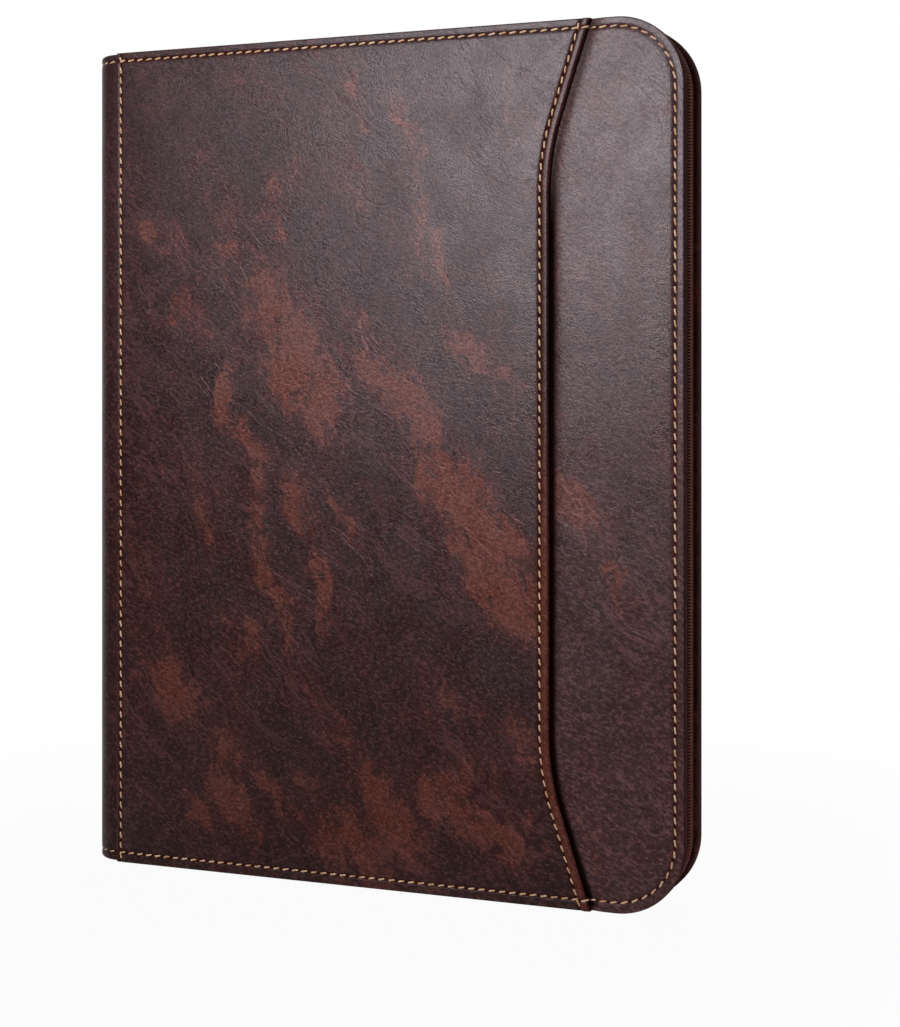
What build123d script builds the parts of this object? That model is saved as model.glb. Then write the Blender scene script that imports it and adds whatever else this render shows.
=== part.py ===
from build123d import *
import math
import os

os.makedirs("parts", exist_ok=True)

# A zip-round padfolio, closed and standing on its lower edge, in millimetres.
# X runs from the spine to the fore edge, Y from the front cover to the back cover, Z up.

# Case
width = 260.0
height = 345.0
thickness = 30.0
corner_radius = 27.0
spine_flat = 3.4
spine_inset = 1.0

# Sheet goods
leather = 1.0
turned_edge = 1.6
edge_round = 0.6
front_padding_depth = 2.4
back_padding_depth = 3.6
board = 2.0
lining = 0.5
stiffener = 1.2
fit_gap = 0.1

# Hinge strip along the spine
seam_setback = 1.0
flap_lap = 12.0
board_setback = 1.5
fold_gap = 0.3
fold_angle = 45.0
stiffener_angle = 32.0
spine_lining_angle = 40.0

# Slip pocket on the front cover
pocket_room = 0.6
pocket_wrap = 0.8
pocket_seam = 6.0
mouth_setback = 53.5
mouth_end_setback = 36.8
mouth_slant = 52.0
mouth_radius = 100.0

# Zip
tape = 0.8
tape_anchor = 3.5
tape_gap = 3.2
tape_setback = 1.0
coil_width = 3.2
coil_height = 1.1
coil_gap = 0.4
stop_length = 2.5
stop_setback = 0.5

# Zip slider and its pull
slider_length = 12.0
slider_taper = 0.5
slider_corner = 1.2
slider_plate = 0.9
slider_base = 0.8
slider_flange = 1.0
slider_clear = 0.3
slider_stop_gap = 3.0
wedge_length = 3.6
wedge_clear = 0.4
bail_width = 2.4
bail_leg = 1.4
bail_bar = 0.7
bail_slot = 4.2
bail_round = 1.0
pivot_clear = 0.25
pull_bar = 1.1
pull_length = 28.0
pull_width = 8.4
pull_arm = 1.2
pull_flare = 3.0
pull_corner = 2.5
pull_side_clear = 0.4
pull_end_clear = 1.3

# Writing pad and pen loop, on the inside of the back cover
pen_radius = 4.6
pen_wall = 0.8
pen_length = 45.0
pen_setback = 5.5
pen_base = 12.0
pad_thickness = 4.5
pad_card = 0.8
pad_pocket_sheet = 0.8
pad_pocket_gap = 1.0
pad_edge_gap = 2.5
pad_side_seam = 6.0
pad_foot_seam = 18.0
pad_head_gap = 20.9
pad_shown_card = 30.0
binding = 0.4
binding_drop = 12.0

# Organiser, on the inside of the front cover
organiser_setback = 19.5
organiser_edge_gap = 2.5
organiser_seam = 5.0
document_height = 205.0
document_room = 0.6
slot_count = 3
slot_sheet = 0.6
slot_width = 94.0
slot_depth = 50.0
slot_step = 14.0
slot_head_gap = 15.0
slot_side_gap = 8.0
phone_sheet = 0.8
phone_room = 1.0
phone_seam = 4.0
phone_fore_gap = 21.0
phone_height = 130.0
phone_gap = 10.0

# Depths, from the front face to the back face
front_face = -thickness / 2
panel_face = front_face + leather + pocket_room
front_padding_y = panel_face + leather
front_board_y = front_padding_y + front_padding_depth
front_lining_y = front_board_y + board
front_inside = front_lining_y + lining
back_face = thickness / 2
back_padding_y = back_face - leather
back_board_y = back_padding_y - back_padding_depth
back_lining_y = back_board_y - board
back_inside = back_lining_y - lining

# Places along the width
spine_face = -width / 2
fore_edge = width / 2
spine_radius = (back_padding_y - panel_face - spine_flat) / 2
arc_x = spine_face + spine_radius
seam_edge = arc_x + seam_setback
lap_end = seam_edge + flap_lap
board_edge = seam_edge + board_setback
mouth_x = fore_edge - mouth_setback
mouth_end_x = fore_edge - mouth_end_setback

# The zip runs round three sides, just inside the turned edges of the covers
zip_right = fore_edge - turned_edge
zip_top = height - pocket_wrap - turned_edge
zip_bottom = pocket_wrap + turned_edge
zip_corner = corner_radius - turned_edge
stack_inset = tape + fit_gap
tape_start = seam_edge + tape_setback
tape_edge = tape_gap / 2
coil_near = coil_gap / 2
coil_far = coil_near + coil_width
stop_start = tape_start + stop_setback

# The slider parks at the spine end of the upper run, and the coil starts past its wedge
slider_start = stop_start + stop_length + slider_stop_gap
slider_x = slider_start + slider_length / 2
slider_end = slider_start + slider_length
slider_travel = zip_right - zip_corner - slider_end
channel_half = coil_far + slider_clear
slider_half = channel_half + slider_flange
wedge_half = tape_edge - wedge_clear
coil_start = slider_start + wedge_length + wedge_clear
plate_z = zip_top + coil_height + slider_clear
slider_top = plate_z + slider_plate
base_z = zip_top - tape - slider_clear
pivot_z = slider_top + pivot_clear + pull_bar / 2

# Centres of the two spine roundings, and the fold lines that keep the leather's length
front_arc_y = panel_face + spine_radius
back_arc_y = back_padding_y - spine_radius
gap_angle = math.degrees(fold_gap / 2 / spine_radius)
fold_reach = math.radians(fold_angle) * spine_radius
fold_x = arc_x - fold_reach
front_fold_y = front_arc_y - fold_reach
back_fold_y = back_arc_y + fold_reach

# Places of the pen loop and the pad
pen_left = board_edge + pen_setback
pen_x = pen_left + pen_base / 2
pen_y = back_inside - pen_wall - pen_radius
pen_bottom = (height - pen_length) / 2
pad_inset = stack_inset + pad_edge_gap
pad_pocket_left = pen_left + pen_base + pad_pocket_gap
pad_left = pad_pocket_left + pad_side_seam
pad_right = zip_right - pad_inset - pad_side_seam
pad_bottom = zip_bottom + pad_inset + pad_foot_seam
pad_top = zip_top - stack_inset - pad_head_gap
pad_mouth = pad_top - pad_shown_card
pad_card_y = back_inside - pad_card
pad_back = pad_card_y - fit_gap - pad_pocket_sheet
pad_front = pad_back - pad_thickness

# Places of the organiser's pockets
organiser_inset = stack_inset + organiser_edge_gap
organiser_left = board_edge + organiser_setback
document_mouth = zip_bottom + organiser_inset + document_height
document_face = front_inside + document_room + leather
slots_left = organiser_left + slot_side_gap
slots_right = slots_left + slot_width
slots_top = document_mouth - slot_head_gap
slots_bottom = slots_top - (slot_count - 1) * slot_step - slot_depth
phone_left = slots_right + phone_gap
phone_right = zip_right - organiser_inset - phone_fore_gap
phone_bottom = slots_top - phone_height
phone_face = document_face + phone_room + phone_sheet


def wall_plane(depth):
    """Upright plane at a depth; what is drawn on it extrudes towards the front."""
    return Plane.XZ.offset(-depth)


def cover_outline(left, right, bottom, top, radius, mode=Mode.ADD):
    """Outline that is square at the spine and round at the two fore-edge corners."""
    with BuildLine() as outline:
        Line((left, bottom), (right - radius, bottom))
        CenterArc((right - radius, bottom + radius), radius, -90, 90)
        Line((right, bottom + radius), (right, top - radius))
        CenterArc((right - radius, top - radius), radius, 0, 90)
        Line((right - radius, top), (left, top))
        Line((left, top), (left, bottom))
    make_face(outline.edges(), mode=mode)


def zip_outline(left, inset=0.0, mode=Mode.ADD):
    """The zip's own outline, or one inset from it."""
    right = zip_right - inset
    cover_outline(left, right, zip_bottom + inset, zip_top - inset, zip_corner - inset, mode)


def block(left, right, bottom, top, front, back, mode=Mode.ADD):
    """A flat piece of the active part, given by its six sides."""
    with BuildSketch(wall_plane(back)) as face:
        with Locations(((left + right) / 2, (bottom + top) / 2)):
            Rectangle(right - left, top - bottom)
    extrude(face.sketch, amount=back - front, mode=mode)


def cover_layer(left, front, back):
    """One sheet inside a cover: padding, board or lining."""
    with BuildPart() as layer:
        with BuildSketch(wall_plane(back)):
            zip_outline(left, stack_inset)
        extrude(amount=back - front)
    return layer


def ring_sector(center, outer, inner, start, sweep):
    """A slice of a ring in the active sketch."""
    with BuildLine() as outline:
        far = CenterArc(center, outer, start, sweep)
        near = CenterArc(center, inner, start, sweep)
        Line(far @ 0, near @ 0)
        Line(far @ 1, near @ 1)
    make_face(outline.edges())


def spine_layer(outer, inner, reach):
    """One sheet that follows the spine's rounding, as far as reach on each side."""
    with BuildPart() as layer:
        with BuildSketch(Plane.XY.offset(spine_inset)):
            ring_sector((arc_x, front_arc_y), outer, inner, 180, reach)
            ring_sector((arc_x, back_arc_y), outer, inner, 180 - reach, reach)
            with Locations((arc_x - (outer + inner) / 2, (front_arc_y + back_arc_y) / 2)):
                Rectangle(outer - inner, back_arc_y - front_arc_y)
        extrude(amount=height - 2 * spine_inset)
    return layer


def hinge_flap(arc_y, start, flat_front):
    """The spine strip from a fold line to where it is sewn under a cover."""
    inner = spine_radius - leather
    with BuildPart() as flap:
        with BuildSketch(Plane.XY.offset(spine_inset)):
            ring_sector((arc_x, arc_y), spine_radius, inner, start, fold_angle - gap_angle)
            with Locations(((arc_x + seam_edge) / 2, flat_front + leather / 2)):
                Rectangle(seam_edge - arc_x, leather)
        extrude(amount=height - 2 * spine_inset)
        block(
            seam_edge, lap_end, zip_bottom + fit_gap, zip_top - fit_gap, flat_front, flat_front + leather
        )
    return flap


def zip_tape(front, back):
    """Half of the zip's tape, a thin wall round three sides."""
    with BuildPart() as half:
        with BuildSketch(wall_plane(back)):
            zip_outline(tape_start)
            zip_outline(tape_start - tape, tape, Mode.SUBTRACT)
        extrude(amount=back - front)
    return half


def zip_coil(front, back):
    """Half of the zip's coil, a rounded bead on the outside of the tape."""
    run_end = zip_right - zip_corner
    with BuildPart() as half:
        with BuildLine(Plane.XZ):
            Line((coil_start, zip_top), (run_end, zip_top))
            CenterArc((run_end, zip_top - zip_corner), zip_corner, 90, -90)
            Line((zip_right, zip_top - zip_corner), (zip_right, zip_bottom + zip_corner))
            CenterArc((run_end, zip_bottom + zip_corner), zip_corner, 0, -90)
            Line((run_end, zip_bottom), (coil_start, zip_bottom))
        with BuildSketch(Plane.YZ.offset(coil_start)):
            with BuildLine():
                crown = ((front + back) / 2, zip_top + coil_height)
                ThreePointArc((front, zip_top), crown, (back, zip_top))
                Line((back, zip_top), (front, zip_top))
            make_face()
        sweep()
    return half


def zip_stops(front, back):
    """The two end stops of one half of the zip, as two separate solids."""
    with BuildPart() as stops:
        block(stop_start, stop_start + stop_length, zip_top, zip_top + coil_height, front, back)
        block(coil_start - stop_length, coil_start, zip_bottom - coil_height, zip_bottom, front, back)
    return stops


def slider_plan():
    """Outline of the slider seen from above, wider at its open end."""
    narrow = slider_half - slider_taper
    with BuildLine() as outline:
        Polyline(
            (slider_start, -slider_half),
            (slider_end, -narrow),
            (slider_end, narrow),
            (slider_start, slider_half),
            close=True,
        )
    make_face(outline.edges())
    fillet(vertices(), slider_corner)


def pocket_outline():
    """Outline of the slip pocket, with its mouth drawn back in the middle."""
    with BuildLine() as outline:
        FilletPolyline(
            (mouth_end_x, 0),
            (mouth_x, mouth_slant),
            (mouth_x, height - mouth_slant),
            (mouth_end_x, height),
            radius=mouth_radius,
        )
        Polyline((mouth_end_x, height), (seam_edge, height), (seam_edge, 0), (mouth_end_x, 0))
    make_face(outline.edges())


pieces = {}

# Front cover: a leather panel with turned edges, over padding, board and lining
with BuildPart() as front_panel:
    with BuildSketch(wall_plane(front_inside)):
        cover_outline(lap_end + fit_gap, fore_edge, pocket_wrap, height - pocket_wrap, corner_radius)
    extrude(amount=front_inside - panel_face)
    with BuildSketch(wall_plane(front_inside)):
        zip_outline(seam_edge)
    extrude(amount=front_inside - front_padding_y, mode=Mode.SUBTRACT)
    fillet(front_panel.edges().group_by(Axis.Y)[0], edge_round)
pieces["front_panel"] = front_panel
pieces["front_padding"] = cover_layer(board_edge, front_padding_y, front_board_y)
pieces["front_board"] = cover_layer(board_edge, front_board_y, front_lining_y)
pieces["front_lining"] = cover_layer(board_edge, front_lining_y, front_inside)

# Slip pocket: a leather sheet sewn down on three sides, turned over the cover's long edges
with BuildPart() as front_pocket:
    with BuildSketch(wall_plane(panel_face)):
        pocket_outline()
    extrude(amount=panel_face - front_face)
    with BuildSketch(wall_plane(front_inside)):
        pocket_outline()
        with Locations((0, height / 2)):
            Rectangle(2 * width, height - 2 * pocket_wrap, mode=Mode.SUBTRACT)
    extrude(amount=front_inside - panel_face)
    fillet(front_pocket.edges().group_by(Axis.Y)[0], edge_round)
    block(
        seam_edge + pocket_seam,
        fore_edge,
        pocket_seam,
        height - pocket_seam,
        panel_face - pocket_room,
        panel_face,
        Mode.SUBTRACT,
    )
pieces["front_pocket"] = front_pocket

# Back cover
with BuildPart() as back_panel:
    with BuildSketch(wall_plane(back_face)):
        cover_outline(seam_edge, fore_edge, 0, height, corner_radius)
    extrude(amount=back_face - back_inside)
    with BuildSketch(wall_plane(back_padding_y)):
        zip_outline(spine_face)
    extrude(amount=back_padding_y - back_inside, mode=Mode.SUBTRACT)
    fillet(back_panel.edges().group_by(Axis.Y)[-1], edge_round)
pieces["back_panel"] = back_panel
pieces["back_padding"] = cover_layer(lap_end + fit_gap, back_board_y, back_padding_y)
pieces["back_board"] = cover_layer(board_edge, back_lining_y, back_board_y)
pieces["back_lining"] = cover_layer(board_edge, back_inside, back_lining_y)

# Spine: one leather strip that folds along two lines, with a stiffener and a lining between them
stiffener_outer = spine_radius - leather
spine_lining_outer = stiffener_outer - stiffener
pieces["front_hinge_flap"] = hinge_flap(front_arc_y, 180 + fold_angle + gap_angle, panel_face)
pieces["back_hinge_flap"] = hinge_flap(back_arc_y, 90, back_padding_y - leather)
pieces["spine_leather"] = spine_layer(spine_radius, stiffener_outer, fold_angle - gap_angle)
pieces["spine_stiffener"] = spine_layer(stiffener_outer, spine_lining_outer, stiffener_angle)
pieces["spine_lining"] = spine_layer(
    spine_lining_outer, spine_lining_outer - lining, spine_lining_angle
)

# Zip halves, one on each cover
pieces["front_zip_tape"] = zip_tape(front_inside - tape_anchor, -tape_edge)
pieces["back_zip_tape"] = zip_tape(tape_edge, back_inside + tape_anchor)
pieces["front_zip_coil"] = zip_coil(-coil_far, -coil_near)
pieces["back_zip_coil"] = zip_coil(coil_near, coil_far)
pieces["front_zip_stops"] = zip_stops(-coil_far, -tape_edge)
pieces["back_zip_stops"] = zip_stops(tape_edge, coil_far)

# Slider: an upper plate with flanges and a lower plate, joined by the wedge between the tapes
with BuildPart() as slider_body:
    with BuildSketch(Plane.XY.offset(plate_z)):
        slider_plan()
    extrude(amount=slider_plate)
    with BuildSketch(Plane.XY.offset(zip_top + slider_clear)):
        slider_plan()
        with Locations((slider_x, 0)):
            Rectangle(2 * slider_length, 2 * channel_half, mode=Mode.SUBTRACT)
    extrude(amount=plate_z - zip_top - slider_clear)
    with BuildSketch(Plane.XY.offset(base_z - slider_base)):
        slider_plan()
    extrude(amount=slider_base)
    with BuildSketch(Plane.XY.offset(base_z)):
        with Locations((slider_start + wedge_length / 2, 0)):
            Rectangle(wedge_length, 2 * wedge_half)
    extrude(amount=plate_z - base_z)
pieces["slider_body"] = slider_body

# Bail: the arch on the slider that the pull hangs from
with BuildPart() as slider_bail:
    bail_height = 2 * pivot_clear + pull_bar + bail_bar
    with BuildSketch(wall_plane(bail_width / 2)):
        with Locations((slider_x, slider_top + bail_height / 2)):
            Rectangle(bail_slot + 2 * bail_leg, bail_height)
        fillet(vertices().group_by(Axis.Y)[-1], bail_round)
        with Locations((slider_x, slider_top + (bail_height - bail_bar) / 2)):
            Rectangle(bail_slot, bail_height - bail_bar, mode=Mode.SUBTRACT)
    extrude(amount=bail_width)
pieces["slider_bail"] = slider_bail

# Pull: a flat tab with a round bar through the bail, lying along the zip
with BuildPart() as pull_tab:
    eye_half = bail_width / 2 + pull_side_clear
    neck_half = eye_half + pull_arm
    eye_end = slider_x + bail_slot / 2 + bail_leg + pull_end_clear
    pull_end = slider_x + pull_length
    with BuildSketch(Plane.XY.offset(pivot_z - pull_bar / 2)):
        with BuildLine():
            Polyline(
                (slider_x, -neck_half),
                (eye_end, -neck_half),
                (eye_end + pull_flare, -pull_width / 2),
                (pull_end, -pull_width / 2),
                (pull_end, pull_width / 2),
                (eye_end + pull_flare, pull_width / 2),
                (eye_end, neck_half),
                (slider_x, neck_half),
                close=True,
            )
        make_face()
        fillet(vertices().group_by(Axis.X)[-1], pull_corner)
        with Locations((slider_x, 0)):
            Rectangle(2 * (eye_end - slider_x), 2 * eye_half, mode=Mode.SUBTRACT)
    extrude(amount=pull_bar)
    with Locations((slider_x, 0, pivot_z)):
        Cylinder(pull_bar / 2, 2 * neck_half, rotation=(90, 0, 0))
pieces["pull_tab"] = pull_tab

# Writing pad: its card slides into a pocket on the back cover's lining
with BuildPart() as pad_pocket:
    with BuildSketch(wall_plane(back_inside)):
        zip_outline(pad_pocket_left, pad_inset)
        with Locations((0, pad_mouth + height / 2)):
            Rectangle(2 * width, height, mode=Mode.SUBTRACT)
    extrude(amount=back_inside - pad_back)
    block(
        pad_left - fit_gap,
        pad_right + fit_gap,
        pad_bottom - fit_gap,
        height,
        pad_card_y - fit_gap,
        back_inside,
        Mode.SUBTRACT,
    )
pieces["pad_pocket"] = pad_pocket
with BuildPart() as pad_backing:
    block(pad_left, pad_right, pad_bottom, pad_top, pad_card_y, back_inside)
pieces["pad_backing"] = pad_backing
with BuildPart() as pad_sheets:
    block(pad_left, pad_right, pad_bottom, pad_top, pad_front, pad_back)
pieces["pad_sheets"] = pad_sheets
with BuildPart() as pad_binding:
    block(pad_left, pad_right, pad_top - binding_drop, pad_top, pad_front - binding, pad_front)
    block(pad_left, pad_right, pad_top, pad_top + binding, pad_front - binding, back_inside)
pieces["pad_binding"] = pad_binding

# Pen loop beside the pad
with BuildPart() as pen_loop:
    with BuildSketch(Plane.XY.offset(pen_bottom)):
        with Locations((pen_x, pen_y)):
            Circle(pen_radius + pen_wall)
        with Locations((pen_x, back_inside - pen_wall / 2)):
            Rectangle(pen_base, pen_wall)
        with Locations((pen_x, pen_y)):
            Circle(pen_radius, mode=Mode.SUBTRACT)
    extrude(amount=pen_length)
pieces["pen_loop"] = pen_loop

# Organiser: a document pocket that carries the card slots and a phone pocket
with BuildPart() as document_pocket:
    with BuildSketch(wall_plane(document_face)):
        zip_outline(organiser_left, organiser_inset)
        with Locations((0, document_mouth + height / 2)):
            Rectangle(2 * width, height, mode=Mode.SUBTRACT)
    extrude(amount=document_face - front_inside)
    with BuildSketch(wall_plane(front_inside + document_room)):
        zip_outline(organiser_left + organiser_seam, organiser_inset + organiser_seam)
    extrude(amount=document_room, mode=Mode.SUBTRACT)
pieces["document_pocket"] = document_pocket
for index in range(slot_count):
    with BuildPart() as card_slot:
        slot_y = document_face + index * slot_sheet
        slot_top = slots_top - index * slot_step
        block(slots_left, slots_right, slots_bottom, slot_top, slot_y, slot_y + slot_sheet)
    pieces[f"card_slot_{index + 1}"] = card_slot
with BuildPart() as phone_pocket:
    block(phone_left, phone_right, phone_bottom, slots_top, document_face, phone_face)
    block(
        phone_left + phone_seam,
        phone_right - phone_seam,
        phone_bottom + phone_seam,
        height,
        document_face,
        document_face + phone_room,
        Mode.SUBTRACT,
    )
pieces["phone_pocket"] = phone_pocket

for name, piece in pieces.items():
    piece.part.label = name
    export_step(piece.part, f"parts/{name}.step")

print(f"fold lines at X {fold_x:.3f}, Y {front_fold_y:.3f} (front) and {back_fold_y:.3f} (back)")
print(f"pull pivot at X {slider_x:.3f}, Z {pivot_z:.3f}; slider travel {slider_travel:.3f}")
print(f"pen loop axis at X {pen_x:.3f}, Y {pen_y:.3f}, from Z {pen_bottom:.3f}")
print(f"pad {pad_right - pad_left:.1f} by {pad_top - pad_bottom:.1f}")
print(f"clear room inside from Y {phone_face:.3f} to {pad_front - binding:.3f}")
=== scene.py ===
import math

import bmesh
import bpy
import numpy as np
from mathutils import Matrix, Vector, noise


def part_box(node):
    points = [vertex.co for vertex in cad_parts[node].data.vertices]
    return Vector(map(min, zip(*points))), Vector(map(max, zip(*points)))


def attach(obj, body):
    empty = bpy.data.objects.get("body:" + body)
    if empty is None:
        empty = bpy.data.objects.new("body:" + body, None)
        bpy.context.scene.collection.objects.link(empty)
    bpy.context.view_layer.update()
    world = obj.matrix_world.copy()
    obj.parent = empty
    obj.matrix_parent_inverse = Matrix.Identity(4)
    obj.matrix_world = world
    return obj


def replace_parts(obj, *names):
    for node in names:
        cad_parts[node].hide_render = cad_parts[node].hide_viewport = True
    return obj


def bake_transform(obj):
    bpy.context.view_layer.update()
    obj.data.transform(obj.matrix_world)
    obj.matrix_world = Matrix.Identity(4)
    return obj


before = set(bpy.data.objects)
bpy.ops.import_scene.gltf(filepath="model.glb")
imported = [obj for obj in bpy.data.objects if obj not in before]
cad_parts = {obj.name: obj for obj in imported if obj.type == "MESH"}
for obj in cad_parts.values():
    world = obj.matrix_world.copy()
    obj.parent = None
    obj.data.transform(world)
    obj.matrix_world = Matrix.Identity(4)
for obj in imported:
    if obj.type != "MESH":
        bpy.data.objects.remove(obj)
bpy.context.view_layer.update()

# Sizes are in millimetres; make_piece turns them into metres.
MM = 0.001


def node_box(name):
    """Lowest and highest corner of a CAD node, in millimetres."""
    low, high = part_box(name)
    return np.array(low) / MM, np.array(high) / MM


panel_low, panel_high = node_box("front_panel")
pocket_low, pocket_high = node_box("front_pocket")
back_low, back_high = node_box("back_panel")
strip_low, strip_high = node_box("spine_leather")
inner_spine_low, inner_spine_high = node_box("spine_lining")

FORE_EDGE = back_high[0]
TOP = back_high[2]
SEAM_REACH = 0.7
SEAM = pocket_low[0] - SEAM_REACH
PANEL_FACE = panel_low[1]
POCKET_FACE = pocket_low[1]
BACK_FACE = back_high[1]
FRONT_INSIDE = panel_high[1]
BACK_INSIDE = back_low[1]
LEATHER = 1.0
MIDDLE = (PANEL_FACE + BACK_FACE - LEATHER) / 2

CORNER = 27.0
OUTLINE = (FORE_EDGE, 0.0, TOP, CORNER, CORNER)
EDGE_ROUND = 0.45
TURNED_EDGE = 1.6
TUCK = 0.15
STITCH_INSET = 3.6
STITCH_PITCH = 4.3
STITCH_LENGTH = 3.3
THREAD_RADIUS = 0.37
ROW_WIDTH = 0.6
SEAM_ROW = 2.2
MOUTH_MIDDLE = 76.5
MOUTH_END = pocket_high[0]
MOUTH_SLANT = 52.0
MOUTH_BEND = 100.0
HEM_ROW = 3.9
LIP_ROUND = 1.1
SEAM_ROUND = 0.8
SPINE_RADIUS = 12.0
FRONT = -1.0
BACK = 1.0


# Materials

class Nodes:
    """A node tree: nodes are added by type, and their sockets are set or linked by name."""

    def __init__(self, tree):
        self.tree = tree

    def feed(self, node, sockets):
        for key, value in sockets.items():
            if isinstance(value, bpy.types.NodeSocket):
                self.tree.links.new(value, node.inputs[key])
            else:
                node.inputs[key].default_value = value

    def add(self, kind, sockets=None, output=0, **settings):
        node = self.tree.nodes.new(kind)
        for key, value in settings.items():
            setattr(node, key, value)
        self.feed(node, sockets or {})
        return node.outputs[output]

    def math(self, operation, first, *others):
        """The same operation with each of the others in turn."""
        for other in others or (0.0,):
            first = self.add("ShaderNodeMath", {0: first, 1: other}, operation=operation)
        return first

    def scaled(self, value, factor, offset=0.0):
        return self.add("ShaderNodeMath", {0: value, 1: factor, 2: offset}, operation="MULTIPLY_ADD")

    def span(self, value, start, stop, low=0.0, high=1.0):
        """Smooth step of a value from low at start to high at stop."""
        sockets = {"Value": value, "From Min": start, "From Max": stop, "To Min": low, "To Max": high}
        return self.add("ShaderNodeMapRange", sockets, interpolation_type="SMOOTHSTEP")

    def part(self, vector, axis):
        return self.add("ShaderNodeSeparateXYZ", {0: vector}, output=axis)


class Finish(Nodes):
    """One procedural material with a principled shader."""

    def __init__(self, name, **sockets):
        self.material = bpy.data.materials.new(name)
        self.material.use_nodes = True
        super().__init__(self.material.node_tree)
        self.shader = self.tree.nodes["Principled BSDF"]
        self.coords = self.add("ShaderNodeTexCoord", output="Object")
        self.dress(**sockets)

    def dress(self, **sockets):
        """Sets the shader's sockets, named in words joined by underscores."""
        names = {socket.name.lower().replace(" ", "_"): socket.name for socket in self.shader.inputs}
        self.feed(self.shader, {names[key]: value for key, value in sockets.items()})

    def noise(self, scale, detail=2.0, rough=0.5, vector=None, output=0):
        sockets = {"Vector": vector or self.coords, "Scale": scale, "Detail": detail, "Roughness": rough}
        return self.add("ShaderNodeTexNoise", sockets, output)

    def cells(self, scale, vector=None):
        return self.add("ShaderNodeTexVoronoi", {"Vector": vector or self.coords, "Scale": scale})

    def waves(self, scale, direction, distortion=0.0, vector=None):
        sockets = {"Vector": vector or self.coords, "Scale": scale, "Distortion": distortion}
        return self.add("ShaderNodeTexWave", sockets, output="Fac", bands_direction=direction)

    def vector(self, operation, first, second, output="Vector"):
        return self.add("ShaderNodeVectorMath", {0: first, 1: second}, output, operation=operation)

    def mark(self, name):
        """A value that the mesh holds at each of its points."""
        return self.add("ShaderNodeAttribute", output="Fac", attribute_name=name)

    def mix(self, factor, first, second, blend="MIX"):
        sockets = {0: factor, 6: first, 7: second}
        return self.add("ShaderNodeMix", sockets, 2, data_type="RGBA", blend_type=blend)

    def stretch(self, share, turn, vector=None):
        """Coordinates turned about Y, with the new Z scaled by a share."""
        sockets = {"Vector": vector or self.coords, "Rotation": (0, turn, 0), "Scale": (1, 1, 1 / share)}
        return self.add("ShaderNodeMapping", sockets, vector_type="TEXTURE")

    def warp(self, scale, reach, vector=None):
        """Coordinates pushed about by a noise."""
        start = vector or self.coords
        push = self.vector("SUBTRACT", self.noise(scale, 3.0, vector=start, output="Color"), (0.5, 0.5, 0.5))
        push = self.vector("MULTIPLY", push, (reach, reach, reach))
        return self.vector("ADD", start, push)

    def bump(self, height, strength, distance):
        sockets = {"Height": height, "Strength": strength, "Distance": distance}
        self.dress(normal=self.add("ShaderNodeBump", sockets))


# Soft rust patches of the front: place in X and Z, half length, half width, slant in degrees, strength
FRONT_PATCHES = (
    (-36, 223, 40, 14, -63, 1.0),
    (-22, 196, 16, 9, -75, 1.0),
    (20, 190, 36, 10, -61, 1.0),
    (38, 160, 26, 14, -56, 1.0),
    (56, 132, 30, 16, -50, 1.0),
    (88, 154, 18, 8, -45, 0.8),
    (-64, 196, 17, 5, -79, 1.0),
    (-51, 174, 17, 5, -70, 1.0),
    (-45, 135, 27, 5, -84, 1.0),
    (-30, 156, 14, 6, -58, 1.0),
    (-21, 120, 18, 5, -83, 1.0),
    (45, 217, 12, 7, -47, 0.7),
    (58, 206, 7, 5, -60, 0.7),
    (-90, 260, 13, 8, -53, 0.7),
    (-104, 272, 8, 5, 30, 0.55),
    (-62, 265, 14, 6, 70, 0.7),
    (-40, 285, 12, 7, 60, 0.7),
    (-87, 73, 16, 9, -40, 0.85),
    (-62, 53, 12, 7, -73, 0.85),
    (-63, 28, 12, 8, -62, 0.85),
    (-78, 25, 10, 4, -70, 0.85),
    (-45, 35, 12, 5, -63, 0.85),
    (-30, 38, 7, 6, -63, 0.85),
    (10, 27, 28, 8, -49, 0.85),
    (0, 10, 16, 8, -40, 0.85),
    (44, 35, 17, 9, -49, 0.85),
    (-14, 16, 15, 10, -64, 0.85),
    (26, 39, 11, 5, -61, 0.85),
    (66, 18, 15, 6, -55, 0.85),
    (103, 130, 13, 6, -45, 0.4),
    (12, 310, 18, 5, -80, 0.6),
    (22, 277, 24, 5, -82, 0.6),
    (-6, 321, 12, 4, -75, 0.5),
    (-34, 262, 20, 4, -82, 0.6),
    (34, 250, 16, 4, -76, 0.55),
    (-72, 150, 22, 4, -80, 0.7),
    (-10, 150, 20, 4, -72, 0.65),
    (-36, 100, 18, 4, -78, 0.65),
    (-82, 232, 12, 6, -60, 0.65),
    (-58, 98, 14, 6, -70, 0.6),
    (-20, 72, 16, 6, -65, 0.6),
    (30, 84, 14, 6, -60, 0.6),
    (62, 62, 14, 6, -58, 0.6),
)
PANEL_PATCHES = tuple(patch for patch in FRONT_PATCHES if patch[0] > MOUTH_MIDDLE)
# Painted shade at the leather's foot and spine side, where less light falls.
PAINTED_FOOT_SHADE = (0.020, 0.0058, 0.0036, 1)
PIT_TONE_AND_SHADE = (0.0067, 0.003, 0.0027, 1)
NEEDLE_ROW_TONE_AND_SHADE = (0.026, 0.0055, 0.0016, 1)
# Painted shadow: near black, mixed in wherever the shade mark is set.
PAINTED_HEM_SHADOW = (0.005, 0.0016, 0.0012, 1)
SHEEN_TINT = (1.0, 0.93, 1.0, 1)
GRAIN_DEPTH = 0.000052


def tinted(colour, red, green, blue):
    return (colour[0] * red, colour[1] * green, colour[2] * blue, 1)


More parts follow.
